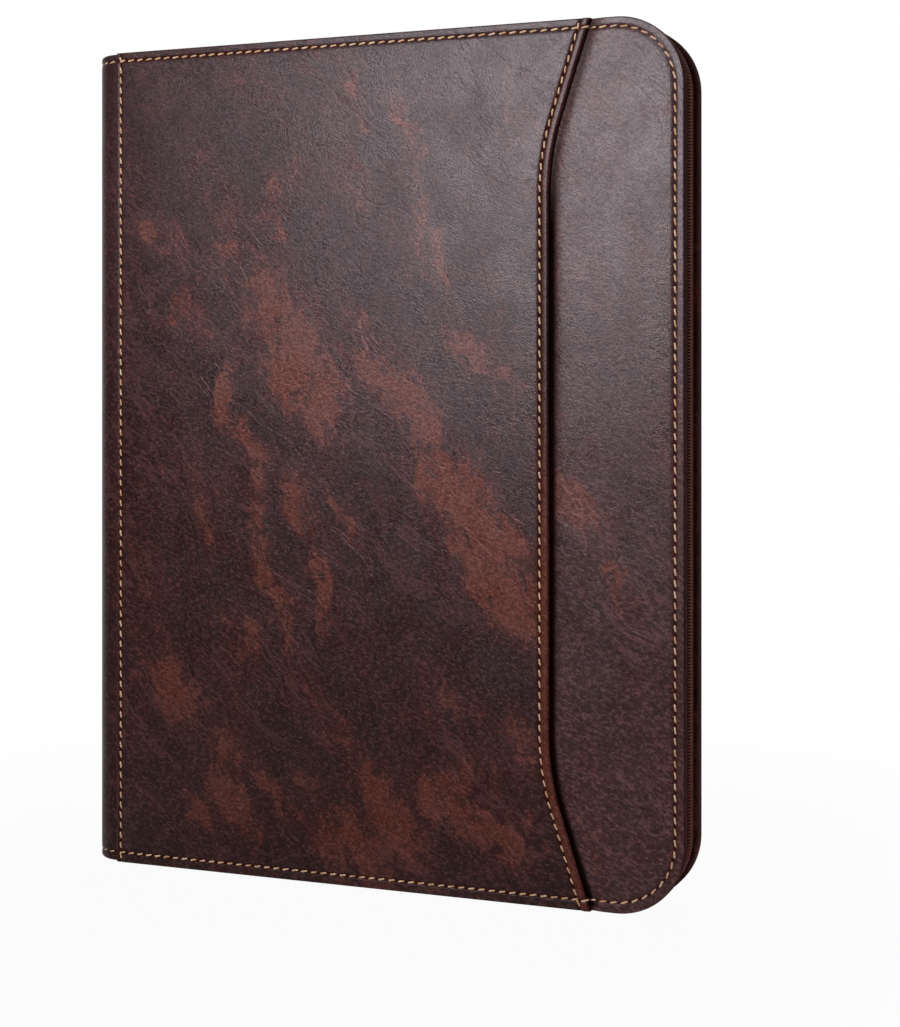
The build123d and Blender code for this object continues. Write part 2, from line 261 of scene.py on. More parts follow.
def rust_mask(finish, broad, patches, mottle):
    """Where the rust shows: slanting clouds, streaks and flecks, and the listed patches."""
    warped = finish.warp(85.0, 0.011, broad)
    cloud = finish.noise(42.0, 5.0, 0.62, finish.stretch(0.45, math.radians(-28), broad))
    streak = finish.noise(230.0, 5.0, 0.72, finish.stretch(0.33, math.radians(-24), warped))
    fleck = finish.noise(480.0, 4.0, 0.7, finish.stretch(0.2, math.radians(-20), warped))
    spot = finish.noise(120.0, 4.0, 0.6, warped)
    strengths = ((streak, 2.6), (spot, 1.6), (fleck, 1.9))
    layers = [finish.scaled(layer, strength, -strength / 2) for layer, strength in strengths]
    blots = []
    for place_x, place_z, half_length, half_width, slant, strength in patches:
        sockets = {
            "Vector": warped,
            "Location": (place_x * MM, 0, place_z * MM),
            "Rotation": (0, -math.radians(slant), 0),
            "Scale": (half_length * MM, 1.0, half_width * MM),
        }
        local = finish.add("ShaderNodeMapping", sockets, vector_type="TEXTURE")
        away = finish.vector("LENGTH", local, (0, 0, 0), "Value")
        blots.append(finish.span(away, 1.7, 0.3, 0.0, strength))
    if blots:
        layers.append(finish.scaled(finish.math("MAXIMUM", *blots), 1.2))
    layers.append(finish.span(finish.part(finish.coords, "Z"), 0.13, 0.03, 0.0, 0.08))
    field = finish.math("ADD", finish.scaled(cloud, 2.3, mottle - 1.15), *layers)
    faint = finish.span(field, -0.25, 0.5, 0.0, 0.2)
    return finish.math("MAXIMUM", faint, finish.span(field, 0.3, 1.15, 0.0, 0.95))


def leather(name, dark, film_and_sheen, patch, patches, mottle, grain, rough, specular, foot_shade=0.7):
    """Aniline leather: dark ground, greyer film that is partly painted sheen, rust mottle, creased grain,
    dull raw edges, and painted shade towards the foot.
    """
    finish = Finish(name)
    broad = finish.warp(22.0, 0.026)
    mask = rust_mask(finish, broad, patches, mottle)
    rosy = finish.span(finish.noise(26.0, 3.0), 0.4, 0.6)
    stain = finish.mix(rosy, patch, tinted(patch, 0.96, 1.25, 1.45))
    # In the leather this rises towards the upper right, where the light falls; it sets the painted foot
    # shade, the painted sheen share of the film and how strongly the creases are lightened.
    wear_and_light = finish.vector("DOT_PRODUCT", finish.coords, (0.8, 0.0, 1.0), "Value")
    cloudy = finish.span(finish.noise(14.0, 5.0, 0.65), 0.35, 0.65)
    # Painted sheen: the greyer film, in clouds, grows towards the upper right where the light falls.
    film_and_sheen_share = finish.math("MULTIPLY", cloudy, finish.span(wear_and_light, 0.0, 0.22, 0.3, 1.0))
    # Painted shade: ground and rust darker towards the foot and the spine.
    low_down = finish.span(wear_and_light, 0.22, 0.0, 0.0, foot_shade)
    ground = finish.mix(low_down, finish.mix(film_and_sheen_share, dark, film_and_sheen), PAINTED_FOOT_SHADE)
    stain = finish.mix(low_down, stain, tinted(patch, 0.55, 0.55, 0.55))
    colour = finish.mix(mask, ground, stain)
    colour = finish.mix(finish.mark("fold"), colour, patch)

    fine = finish.warp(330.0, 0.0013)
    pebble = finish.span(finish.cells(1900.0, finish.stretch(0.6, math.radians(-45), fine)), 0.8, 0.1)
    wave = finish.noise(980.0, 2.0, 0.6, finish.stretch(0.5, math.radians(-68), fine))
    crest = finish.span(wave, 0.5, 0.66)
    drawn = finish.noise(100.0, 3.0, 0.5, finish.stretch(0.12, math.radians(-50), broad))
    line = finish.span(finish.math("ABSOLUTE", finish.scaled(drawn, 1.0, -0.5)), 0.022, 0.0)
    line = finish.math("MULTIPLY", line, finish.span(finish.noise(17.0, 2.0), 0.42, 0.6))
    relief = ((pebble, 0.5), (crest, 0.2), (line, -0.5))
    height = finish.math("ADD", *[finish.scaled(layer, depth) for layer, depth in relief])
    # Lighter crease lines: partly rubbed wear, partly painted glints, shown strongest low down where the
    # light is weakest.
    rubbed_and_glinting = finish.math("MAXIMUM", finish.scaled(crest, 0.3), finish.scaled(line, 0.55))
    shown = finish.math("MULTIPLY", rubbed_and_glinting, finish.span(wear_and_light, 0.08, 0.33, 3.4, 0.7))
    colour = finish.mix(shown, colour, tinted(film_and_sheen, 1.1, 1.15, 1.1), "ADD")
    # Darker pits and valleys of the grain: partly its own tone, partly painted shade in the hollows.
    pit = finish.span(pebble, 0.0, 0.5, 0.65, 1.0)
    valley = finish.math("MULTIPLY", finish.scaled(pit, 0.85, 0.15), finish.span(wave, 0.36, 0.55, 0.65, 1.0))
    colour = finish.mix(valley, PIT_TONE_AND_SHADE, colour)

    row, shade, edge = finish.mark("row"), finish.mark("shade"), finish.mark("edge")
    # Darker along stitch rows: partly the needle holes, partly painted shade in the stitch groove.
    colour = finish.mix(finish.scaled(row, 0.97), colour, NEEDLE_ROW_TONE_AND_SHADE)
    # Painted shadow and shade where the shade mark is set.
    colour = finish.mix(shade, colour, PAINTED_HEM_SHADOW)
    gloss = finish.span(finish.noise(60.0, 3.0), 0.3, 0.7, rough - 0.04, rough + 0.05)
    gloss = finish.math("MAXIMUM", gloss, finish.span(edge, 0.3, 0.03, 0.0, 0.8))
    dull = finish.math("MAXIMUM", row, shade, finish.scaled(line, 0.25))
    shine = finish.math("MULTIPLY", finish.span(edge, 0.03, 0.3, 0.06, specular), pit,
                        finish.scaled(dull, -1.0, 1.0), finish.span(wave, 0.36, 0.64, 0.68, 0.82))
    finish.dress(base_color=colour, roughness=gloss, specular_ior_level=shine, specular_tint=SHEEN_TINT)
    finish.bump(height, 1.0, GRAIN_DEPTH * grain)
    return finish.material


def thread_finish(name, colour, shade):
    """Waxed twisted thread: fine cross bands and a little colour change."""
    finish = Finish(name, roughness=0.5, specular_ior_level=0.3)
    twist = finish.waves(900.0, "DIAGONAL", 1.5)
    tone = finish.noise(240.0, 2.0)
    blend = finish.scaled(finish.math("ADD", finish.span(tone, 0.3, 0.7), twist), 0.5)
    finish.dress(base_color=finish.mix(blend, colour, shade))
    finish.bump(twist, 0.4, 0.0002)
    return finish.material


WAVE_PERIOD = 0.314


def woven(name, warp_colour, weft_colour, pitch, rough, twill=0.0):
    """Plain or twill cloth: two crossing sets of threads, a pitch in millimetres apart."""
    finish = Finish(name, roughness=rough, specular_ior_level=0.06)
    uneven = finish.warp(300.0, 0.0004, finish.stretch(1.0, twill))
    scale = WAVE_PERIOD / (pitch * MM)
    across, upright_threads, through = (finish.waves(scale, axis, 0.0, uneven) for axis in "XZY")
    weave = finish.math("MAXIMUM", across, upright_threads, through)
    colour = finish.mix(finish.span(upright_threads, 0.3, 0.7), warp_colour, weft_colour)
    wear_and_light = finish.span(finish.noise(40.0, 4.0), 0.3, 0.75, 0.0, 0.35)
    finish.dress(base_color=finish.mix(wear_and_light, colour, warp_colour))
    finish.bump(weave, 0.6, 0.0003)
    return finish.material


def flecked(name, first, second, flecks, bump, rough=None, **sockets):
    """Two tones in flecks of noise over a finer bump; rough, where given, goes with the flecks."""
    finish = Finish(name, **sockets)
    scale, detail, blur, start, stop = flecks
    fleck = finish.span(finish.noise(scale, detail, blur), start, stop)
    finish.dress(base_color=finish.mix(fleck, first, second))
    if rough:
        finish.dress(roughness=finish.span(fleck, 0, 1, *rough))
    scale, detail, strength, distance = bump
    finish.bump(finish.noise(scale, detail), strength, distance)
    return finish.material


def fibreboard(name, light, dark):
    """Grey board or card: flecked pulp."""
    return flecked(name, light, dark, (900.0, 5.0, 0.7, 0.42, 0.62), (1400.0, 4.0, 0.25, 0.0002),
                   roughness=0.9, specular_ior_level=0.1)


LINE_PITCH = 0.0071
LINE_WIDTH = 0.00035
FIRST_LINE = 0.288


def paper(name):
    """Ruled writing paper: fibrous off-white, with feint lines on its faces only."""
    finish = Finish(name, roughness=0.88, specular_ior_level=0.15)
    place = finish.part(finish.coords, "Z")
    on_line = finish.math("LESS_THAN", finish.math("MODULO", place, LINE_PITCH), LINE_WIDTH)
    below_head = finish.math("LESS_THAN", place, FIRST_LINE)
    facing = finish.part(finish.add("ShaderNodeNewGeometry", output="Normal"), "Y")
    facing = finish.math("GREATER_THAN", finish.math("ABSOLUTE", facing), 0.6)
    ruled = finish.math("MULTIPLY", on_line, below_head, facing, 0.55)
    fibre = finish.span(finish.noise(500.0, 5.0, 0.7), 0.3, 0.7)
    sheet = finish.mix(fibre, (0.80, 0.77, 0.70, 1), (0.86, 0.83, 0.77, 1))
    finish.dress(base_color=finish.mix(ruled, sheet, (0.25, 0.36, 0.5, 1)))
    finish.bump(finish.noise(1800.0, 3.0), 0.15, 0.0001)
    return finish.material


def foam(name):
    """Open-cell padding foam."""
    finish = Finish(name, roughness=0.95, specular_ior_level=0.05)
    cell = finish.cells(1400.0)
    wall = finish.span(cell, 0.1, 0.6)
    finish.dress(base_color=finish.mix(wall, (0.36, 0.35, 0.31, 1), (0.58, 0.56, 0.50, 1)))
    finish.bump(cell, 0.5, 0.0004)
    return finish.material


ESPRESSO = (0.0273, 0.0071, 0.0061, 1)
# A greyer film, partly painted sheen.
GREY_FILM_AND_SHEEN = (0.0345, 0.0141, 0.0162, 1)
RUST = (0.1462, 0.0336, 0.0201, 1)
front_leather = leather("front leather", ESPRESSO, GREY_FILM_AND_SHEEN, RUST, FRONT_PATCHES, 0.0, 1.0, 0.29, 0.44)
# A lighter copy of the front leather with no darker foot: partly the panel's own tone, partly painted light
# on the lit fore-edge side.
panel_leather_lit = leather("panel leather", (0.051, 0.0220, 0.0215, 1), (0.062, 0.0285, 0.0300, 1), RUST,
                        PANEL_PATCHES, 0.0, 1.0, 0.29, 0.44, 0.0)
back_leather = leather("back leather", ESPRESSO, GREY_FILM_AND_SHEEN, RUST, (), 0.35, 1.0, 0.29, 0.44)
spine_finish = leather("spine leather", (0.028, 0.0085, 0.0078, 1), (0.036, 0.0135, 0.0135, 1),
                       (0.060, 0.0170, 0.0120, 1), (), 0.1, 0.3, 0.42, 0.25)
inner_leather = leather("organiser leather", (0.045, 0.0170, 0.0135, 1), (0.060, 0.0255, 0.0210, 1),
                        (0.087, 0.0300, 0.0195, 1), (), 0.15, 0.9, 0.45, 0.3)
# The tan thread's paler tone is partly painted highlight.
tan_thread = thread_finish("tan thread", (0.46, 0.205, 0.082, 1), (0.84, 0.61, 0.43, 1))
# Needle holes: dark discs of painted shade under the stitch ends.
hole_shade_finish = thread_finish("needle hole", (0.021, 0.0045, 0.0014, 1), (0.036, 0.0085, 0.0028, 1))
lining_finish = woven("lining cloth", (0.145, 0.075, 0.048, 1), (0.210, 0.118, 0.080, 1), 0.55, 0.75)
tape_finish = woven("zip tape", (0.085, 0.0215, 0.0165, 1), (0.130, 0.0350, 0.0260, 1), 0.7, 0.8, 0.6)
coil_finish = flecked("zip coil", (0.160, 0.0440, 0.0330, 1), (0.220, 0.0720, 0.0550, 1),
                      (700.0, 3.0, 0.5, 0.45, 0.75), (2600.0, 1.0, 0.15, 0.0001), (0.6, 0.85),
                      specular_ior_level=0.06)
brass_finish = flecked("antique brass", (0.36, 0.25, 0.11, 1), (0.17, 0.105, 0.05, 1),
                       (190.0, 5.0, 0.6, 0.35, 0.68), (1200.0, 3.0, 0.12, 0.0001), (0.26, 0.46), metallic=1.0)
paper_finish = paper("ruled paper")
card_finish = fibreboard("pad card", (0.30, 0.25, 0.19, 1), (0.22, 0.17, 0.12, 1))
leatherboard_finish = fibreboard("leather board", (0.060, 0.0260, 0.0170, 1), (0.036, 0.0150, 0.0100, 1))
board_finish = fibreboard("grey board", (0.30, 0.29, 0.27, 1), (0.20, 0.19, 0.18, 1))
binding_finish = woven("binding cloth", (0.075, 0.0270, 0.0210, 1), (0.112, 0.0450, 0.0360, 1), 0.5, 0.7)
elastic_finish = woven("pen elastic", (0.030, 0.0128, 0.0105, 1), (0.051, 0.0240, 0.0195, 1), 0.9, 0.85)
foam_finish = foam("padding foam")


# Meshes

NEAR_EDGE = (0, 0.12, 0.35, 0.7, 1.2, 1.8, 2.4, 2.9, 3.4, 4.0, 4.7, 5.6, 6.6, 8.0, 9.6, 11.5)
GRID_STEP = 3.0
LINE_STEP = 0.5


def spaced(start, stop, step=GRID_STEP, near=NEAR_EDGE):
    """Grid places: close together at both ends, even in the middle."""
    first = start + np.array(near)
    last = stop - np.array(near)[::-1]
    count = max(int((last[0] - first[-1]) / step), 1)
    return np.concatenate([first, np.linspace(first[-1], last[0], count + 2)[1:-1], last])


def grid_faces(rows, cols):
    corner = np.arange(rows * cols).reshape(rows, cols)
    quads = np.stack([corner[:-1, :-1], corner[:-1, 1:], corner[1:, 1:], corner[1:, :-1]], -1)
    return quads.reshape(-1, 4).tolist()


def ring_faces(first, second):
    """Quads between two closed loops of vertex numbers."""
    return np.stack([first, np.roll(first, -1), np.roll(second, -1), second], -1).tolist()


def border(rows, cols):
    """Vertex numbers once round a grid: top row, right column, bottom row, left column."""
    corner = np.arange(rows * cols).reshape(rows, cols)
    return np.concatenate([corner[-1], corner[-2::-1, -1], corner[0, -2::-1], corner[1:-1, 0]])


def shifted(faces, start):
    """The same faces on points numbered from start."""
    return [[corner + start for corner in face] for face in faces]


def sheet_faces(rows, cols):
    """Faces of a two-sided sheet: one grid, a second one after it, and the border between them."""
    faces = grid_faces(rows, cols)
    loop = border(rows, cols)
    return faces + shifted(faces, rows * cols) + ring_faces(loop, loop + rows * cols)


def tube_faces(rings, sides):
    """Faces of a tube of rings that follow each other, capped at both ends."""
    faces = []
    for step in range(rings - 1):
        first = np.arange(sides) + step * sides
        faces += ring_faces(first, first + sides)
    return faces + [list(range(sides)), list(range((rings - 1) * sides, rings * sides))]


def linked(name, data):
    """A new object of the scene."""
    made = bpy.data.objects.new(name, data)
    bpy.context.scene.collection.objects.link(made)
    return made


def make_piece(name, points, faces, materials, slot, wears=None, **marks):
    """A mesh piece from points in millimetres; wears gives each face a material, marks each point a value."""
    mesh = bpy.data.meshes.new(name)
    mesh.from_pydata((np.asarray(points) * MM).tolist(), [], faces)
    for material in materials:
        mesh.materials.append(material)
    if wears is not None:
        mesh.polygons.foreach_set("material_index", np.asarray(wears, dtype=np.int32))
    for mark, values in marks.items():
        attribute = mesh.attributes.new(mark, "FLOAT", "POINT")
        attribute.data.foreach_set("value", np.asarray(values, dtype=np.float32))
    work = bmesh.new()
    work.from_mesh(mesh)
    bmesh.ops.remove_doubles(work, verts=work.verts, dist=1e-7)
    bmesh.ops.dissolve_degenerate(work, edges=work.edges, dist=1e-8)
    bmesh.ops.recalc_face_normals(work, faces=work.faces)
    work.to_mesh(mesh)
    work.free()
    mesh.shade_smooth()
    mesh.set_sharp_from_angle(angle=math.radians(48))
    return linked(name, mesh)


def ease(value, start, stop):
    """0 below start, 1 above stop, smooth between."""
    share = np.clip((value - start) / (stop - start), 0, 1)
    return share * share * (3 - 2 * share)


def rolled(distance, radius):
    """Drop of a rounded edge: the radius at the edge itself, nothing further in."""
    reach = np.clip(radius - distance, 0, radius)
    return np.sqrt(radius**2 - reach**2) - radius


def groove(distance, width, depth):
    return -depth * np.exp(-((distance / width) ** 2))


def swell(distance, reach, rise):
    return rise * (1 - np.exp(-np.clip(distance, 0, None) / reach))


def ripple(x, z, size, height, seed):
    """Soft unevenness of a stuffed skin."""
    values = [noise.noise((a / size, seed, b / size)) for a, b in zip(x.ravel(), z.ravel())]
    return height * np.array(values).reshape(x.shape)


def corner_reach(x, z, right, low, high, radius_low, radius_high):
    """How far a point lies past the fore-edge corners' centres, across and up or down, and the radius."""
    middle = (low + high) / 2
    radius = np.where(z < middle, radius_low, radius_high)
    return x - (right - radius), np.abs(z - middle) - ((high - low) / 2 - radius), radius


def half_sign(z, outline):
    """1 in the upper half of an outline, -1 in the lower."""
    return np.sign(z - (outline[1] + outline[2]) / 2)


def rounded(x, z, *outline):
    """Bends a square grid so that its fore-edge corners become round."""
    across, up, radius = corner_reach(x, z, *outline)
    across, up = np.clip(across, 0, None), np.clip(up, 0, None)
    twice = 2 * radius**2
    new_x = x + across * (np.sqrt(1 - up**2 / twice) - 1)
    new_z = z + half_sign(z, outline) * up * (np.sqrt(1 - across**2 / twice) - 1)
    return new_x, new_z


def inside(x, z, *outline):
    """Distance in from the top, fore and bottom edges of a round-cornered sheet."""
    across, up, radius = corner_reach(x, z, *outline)
    past = np.hypot(np.clip(across, 0, None), np.clip(up, 0, None))
    return radius - past - np.minimum(np.maximum(across, up), 0)


def outward(x, z, *outline):
    """Direction out of the sheet at its border."""
    across, up = corner_reach(x, z, *outline)[:2]
    out_x, out_z = np.clip(across, 0, None), half_sign(z, outline) * np.clip(up, 0, None)
    length = np.maximum(np.hypot(out_x, out_z), 1e-6)
    return out_x / length, out_z / length


def rim(depth, thickness, sheet):
    """Turned edge of a cover: down the outside, round the foot and back up to the sheet's inner face."""
    return (
        (0.0, 2.2),
        (0.0, depth - 1.6),
        (0.1, depth - 0.9),
        (0.4, depth - 0.35),
        (0.85, depth - 0.05),
        (thickness - 0.2, depth),
        (thickness, depth - 0.4),
        (thickness, sheet),
    )


def shell(name, x, z, height, face, side, sheet, turned, out, rows, material, slot, edge, row,
          fold=0.0, shade=0.0):
    """A closed sheet: its outer grid, turned edges where turned is 1, raw ones elsewhere, and its back."""
    points = [np.stack([x, face + side * height, z], -1).reshape(-1, 3)]
    faces = grid_faces(*x.shape)
    before = border(*x.shape)
    round_x, round_z = x.ravel()[before], z.ravel()[before]
    round_height = height.ravel()[before]
    count = x.size
    for step, (inset, depth) in enumerate(rows, 1):
        raw = round_height + (-sheet - round_height) * step / len(rows)
        level = np.where(turned, -depth, raw)
        ring_x, ring_z = round_x - turned * inset * out[0], round_z - turned * inset * out[1]
        for end, limit in ((0, z.min() + inset), (-1, z.max() - inset)):
            beyond = (turned == 0) & turned.any() & ((ring_z - limit) * (1 if end else -1) > 0)
            corner = np.where(round_x > x.mean(), x[end, -1], x[end, 0])
            ring_x, ring_z = np.where(beyond, corner, ring_x), np.where(beyond, limit, ring_z)
        points.append(np.stack([ring_x, face + side * level, ring_z], -1))
        after = np.arange(count, count + before.size)
        faces += ring_faces(before, after)
        before = after
        count += before.size
    faces.append(before.tolist())
    # The rim rows carry their border's marks, so painted shade at the pocket's lip also darkens its raw side
    # wall.
    loop = np.tile(border(*x.shape), len(rows))
    marks = {"edge": edge, "row": np.exp(-((row / 0.7) ** 2)), "fold": fold + 0 * x, "shade": shade + 0 * x}
    marks = {mark: np.concatenate([values.ravel(), values.ravel()[loop]]) for mark, values in marks.items()}
    return make_piece(name, np.concatenate(points), faces, [material], slot, **marks)


def border_flags(rows, cols, top, right, bottom, left):
    """One value for each vertex of a grid's border, side by side."""
    sides = ((cols, top), (rows - 1, right), (cols - 1, bottom), (rows - 2, left))
    return np.concatenate([np.full(count, value) for count, value in sides])


def cover_rim(x, z, depth):
    """What shell needs for a cover: border flags, directions out of it and the steps of its turned edge."""
    loop = border(*x.shape)
    out = outward(x.ravel()[loop], z.ravel()[loop], *OUTLINE)
    return border_flags(*x.shape, 1.0, 1.0, 1.0, 0.0), out, rim(depth, TURNED_EDGE, LEATHER)


def raw_rim(x, sheet):
    """The same for a sheet that is cut off all round."""
    raw = np.zeros(border(*x.shape).size)
    return raw, (raw, raw), rim(2.0, 0.5, sheet)


def band(name, line, normals, axis, places, lift, thickness, material, slot):
    """A strip with a drawn section: line and normals give the section, places run along the axis."""
    offsets = np.asarray(places)[:, None, None] * np.asarray(axis, dtype=float)
    outer = line[None] + offsets + normals[None] * np.asarray(lift)[:, None, None]
    inner = line[None] + offsets - normals[None] * thickness
    rows, cols = outer.shape[:2]
    points = np.concatenate([outer.reshape(-1, 3), inner.reshape(-1, 3)])
    ends = np.minimum(places - np.min(places), np.max(places) - places)
    edge = np.tile(np.repeat(ends, cols), 2)
    return make_piece(name, points, sheet_faces(rows, cols), [material], slot, edge=edge)


def along(line, normals, spacing):
    """Evenly spaced places on a polyline, with the direction and the surface normal there."""
    steps = np.linalg.norm(np.diff(line, axis=0), axis=1)
    length = np.concatenate([[0], np.cumsum(steps)])
    count = max(int(round(length[-1] / spacing)), 1)
    at = (np.arange(count) + 0.5) * length[-1] / count

    def sample(values, where):
        return np.stack([np.interp(where, length, values[:, k]) for k in range(3)], -1)

    ahead = sample(line, at + 0.4) - sample(line, at - 0.4)
    ahead /= np.linalg.norm(ahead, axis=1, keepdims=True)
    normal = sample(normals, at)
    normal -= ahead * (normal * ahead).sum(1, keepdims=True)
    normal /= np.linalg.norm(normal, axis=1, keepdims=True)
    return sample(line, at), ahead, normal


SIDES = 8
ROUND = np.linspace(0, 2 * math.pi, SIDES, endpoint=False)


def capsule(rings):
    """Points and faces of a closed tube; rings are (centre, half width, half height) along its way."""
    points = []
    for (forward, aside, up), wide, high in rings:
        ring = [np.full(SIDES, forward), aside + wide * np.cos(ROUND), up + high * np.sin(ROUND)]
        points.append(np.stack(ring, -1))
    return np.concatenate(points), tube_faces(len(rings), SIDES)


def stitch_shape():
    """One stitch, bowed over the leather with both ends sunk in, and its two needle holes as dark discs of
    painted shade.
    """
    rings = []
    for share in np.linspace(-1, 1, 9):
        rise = 0.22 - 0.72 * share**4
        wide = THREAD_RADIUS * (1 - 0.3 * share**6)
        rings.append(((share * STITCH_LENGTH / 2, 0.3 * share, rise), wide, wide * 0.85))
    points, faces = capsule(rings)
    wears = [0] * len(faces)
    for share in (-1.0, 1.0):
        start = len(points)
        x, y = share * (STITCH_LENGTH / 2 + 0.05), 0.3 * share
        disc = [x + 0.75 * np.cos(ROUND), y + 0.5 * np.sin(ROUND), np.full(SIDES, -0.06)]
        points = np.concatenate([points, np.stack(disc, -1), [[x, y, 0.07]]])
        faces += [[start + step, start + (step + 1) % SIDES, start + SIDES] for step in range(SIDES)]
        faces.append(list(range(start, start + SIDES)))
        wears += [1] * (SIDES + 1)
    return points, faces, wears


def repeat(points, faces, places, ahead, normal):
    """Copies a small shape to many places, its X along ahead and its Z along normal."""
    aside = np.cross(normal, ahead)
    copies = (places[:, None] + points[None, :, :1] * ahead[:, None] + points[None, :, 1:2] * aside[:, None]
              + points[None, :, 2:] * normal[:, None])
    all_faces = []
    for step in range(len(places)):
        all_faces += shifted(faces, step * len(points))
    return copies.reshape(-1, 3), all_faces


def sew(name, runs, slot):
    """Rows of stitches; each run is a line on the leather with its normals."""
    parts = [along(line, normals, STITCH_PITCH) for line, normals in runs]
    places, ahead, normal = (np.concatenate([part[k] for part in parts]) for k in range(3))
    points, faces, wears = stitch_shape()
    points, faces = repeat(points, faces, places, ahead, normal)
    return make_piece(name, points, faces, [tan_thread, hole_shade_finish], slot, wears * len(places))


def upright(x, low, high):
    """Points up a straight row."""
    rise = np.arange(low, high, LINE_STEP)
    return np.stack([np.full(rise.size, x), rise], -1)


def laid(path, surface, side):
    """A path in X and Z laid on a surface, with the normals of that side."""
    x, z = path.T
    line = np.stack([x, surface(x, z), z], -1)
    return line, np.tile((0.0, side, 0.0), (len(line), 1))


def open_sides(left, right, low, high, radius, step=LINE_STEP):
    """Points round the top, fore edge and bottom, from the upper left to the lower left, with normals."""
    turn = np.linspace(0, math.pi / 2, 48)
    run = np.arange(left, right - radius, step)
    rise = np.arange(low + radius, high - radius, step)
    upper = np.stack([right - radius + radius * np.sin(turn), high - radius + radius * np.cos(turn)], -1)
    lower = upper[::-1] * (1, -1) + (0, low + high)
    parts = [
        np.stack([run, np.full(run.size, high)], -1),
        upper,
        np.stack([np.full(rise.size, right), rise[::-1]], -1)[1:],
        lower,
        np.stack([run[::-1], np.full(run.size, low)], -1),
    ]
    line = np.concatenate(parts)
    out = outward(line[:, 0], line[:, 1], right, low, high, radius, radius)
    return line, np.stack(out, -1)


# Front cover

ROW_FORE = FORE_EDGE - STITCH_INSET
ROW_TOP = TOP - STITCH_INSET
ROW_BOTTOM = STITCH_INSET + 0.6
ROW_CORNER = CORNER - 3.0
ROW = (ROW_FORE, ROW_BOTTOM, ROW_TOP, ROW_CORNER, ROW_CORNER)


def mouth(z):
    """X of the pocket's open edge at a height: straight in the middle, slanting outwards to both ends."""
    tangent = (MOUTH_END - MOUTH_MIDDLE) / MOUTH_SLANT
    angle = math.atan(tangent)
    up = np.abs(z - TOP / 2)
    start = TOP / 2 - MOUTH_SLANT - MOUTH_BEND * math.tan(angle / 2)
    reach = MOUTH_BEND * math.sin(angle)
    past = np.clip(up - start, 0, reach)
    curve = MOUTH_BEND - np.sqrt(MOUTH_BEND**2 - past**2)
    return MOUTH_MIDDLE + curve + np.clip(up - start - reach, 0, None) * tangent


def hem_shadow(z):
    """Depth of the shadow beside the mouth: fainter at its upper end, which faces the light."""
    return 0.3 + 0.7 * ease(z, 312.0, 262.0)


def row_valley(row):
    """Leather pulled down along a stitched row and swelling inside it."""
    return groove(row, ROW_WIDTH, 0.34) + swell(row, 8.0, 0.55)


def panel_height(x, z):
    edge = inside(x, z, *OUTLINE)
    row = inside(x, z, *ROW)
    pressed = groove(np.clip(x - mouth(z), 0, None), 3.0, 0.8)
    return (rolled(edge, EDGE_ROUND) + row_valley(row) + pressed
            + ripple(x, z, 34.0, 0.16, 3.0) * ease(row, 2, 20))


def pocket_height(x, z):
    seam, lip = x - SEAM, mouth(z) - x
    ends_row = np.minimum(z - ROW_BOTTOM, ROW_TOP - z)
    row = np.minimum(ends_row, np.minimum(seam - SEAM_ROW, lip - HEM_ROW))
    pulled = groove(seam - SEAM_ROW, ROW_WIDTH, 0.3) + groove(lip - HEM_ROW, ROW_WIDTH, 0.32)
    pulled = pulled + groove(ends_row, ROW_WIDTH, 0.34)
    hem = 0.5 * ease(lip, HEM_ROW, HEM_ROW - 1.2)
    edges = rolled(np.minimum(z, TOP - z), EDGE_ROUND) + rolled(seam, SEAM_ROUND) + rolled(lip, LIP_ROUND)
    puff = swell(row, 9.0, 0.6) + ripple(x, z, 38.0, 0.2, 8.0) * ease(row, 2, 24)
    return edges + pulled + hem + puff - 0.35


def front_surface(x, z):
    """Y of the front's outer leather: the pocket as far as its mouth, the panel past it."""
    on_pocket = POCKET_FACE - pocket_height(x, z)
    on_panel = PANEL_FACE - panel_height(x, z)
    return np.where(x < mouth(z) - 0.2, on_pocket, on_panel)


BESIDE_MOUTH = (-0.6, 0.0, 0.5, 1.0, 1.5, 2.0, 2.6, 3.3, 4.2, 5.4, 7.0)


def front_panel():
    z = spaced(0.0, TOP)[:, None]
    beside = mouth(z) + np.array(BESIDE_MOUTH)
    last = np.tile(FORE_EDGE - np.array(NEAR_EDGE)[::-1], (z.size, 1))
    under = panel_low[0] + (beside[:, :1] - panel_low[0]) * np.linspace(0, 1, 28)[:-1]
    middle = beside[:, -1:] + (last[:, :1] - beside[:, -1:]) * np.linspace(0, 1, 14)[1:-1]
    x = np.concatenate([under, beside, middle, last], axis=1)
    x, z = rounded(x, np.tile(z, (1, x.shape[1])), *OUTLINE)
    z = z + TUCK * ease(mouth(z) - x, 0.2, 1.5) * (1 - 2 * z / TOP)
    edge = inside(x, z, *OUTLINE)
    # Painted shade: the pocket mouth's shadow on the panel, fainter at its top, and a darker turned rim
    # (brim); the rim's fold adds rust.
    brim = ease(edge, 0.4, 0.0)
    shade = hem_shadow(z) * ease(x - mouth(z), 3.6, 1.2) * ease(edge, 0.3, 2.5) + 0.45 * brim
    piece = shell("front_panel_leather", x, z, panel_height(x, z), PANEL_FACE, FRONT, LEATHER,
                  *cover_rim(x, z, FRONT_INSIDE - PANEL_FACE), panel_leather_lit, "cover_leather", edge,
                  np.abs(inside(x, z, *ROW)), 0.25 * brim, shade)
    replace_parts(piece, "front_panel")
    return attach(piece, "front_cover")


